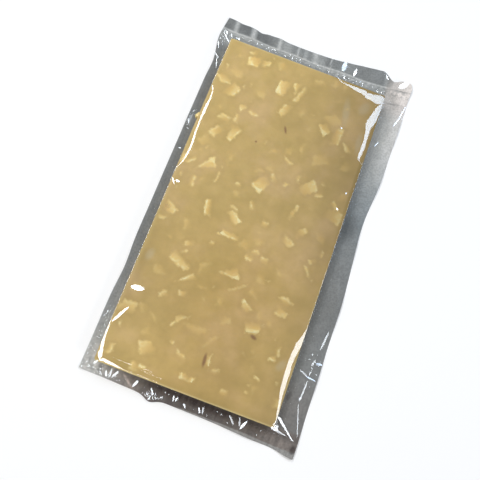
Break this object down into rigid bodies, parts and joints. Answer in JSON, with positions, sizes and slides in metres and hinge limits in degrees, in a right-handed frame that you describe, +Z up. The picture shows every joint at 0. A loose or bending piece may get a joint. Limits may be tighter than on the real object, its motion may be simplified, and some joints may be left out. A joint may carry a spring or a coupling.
{
  "type": "chocolate bar in a clear sealed pouch",
  "caption": "Thin slab of pale chocolate with chopped nuts, heat-sealed in a clear flat pouch that lies on its back.",
  "frame": {"origin": "on the table, under the middle of the pouch's box", "axes": "+Z up from the table; +Y along the bar, towards the pouch's wide sealed end; +X across the bar"},
  "size_m": [0.0956, 0.185, 0.0074],
  "materials": {
    "film": "clear glossy packing film",
    "backing": "silver-grey satin back film",
    "chocolate": "smooth pale caramel chocolate, slightly waxy",
    "nut": "cut nut, matt and creamy yellow"
  },
  "bodies": {
    "root": {"sealed_pouch": "film"}
  },
  "joints": []
}
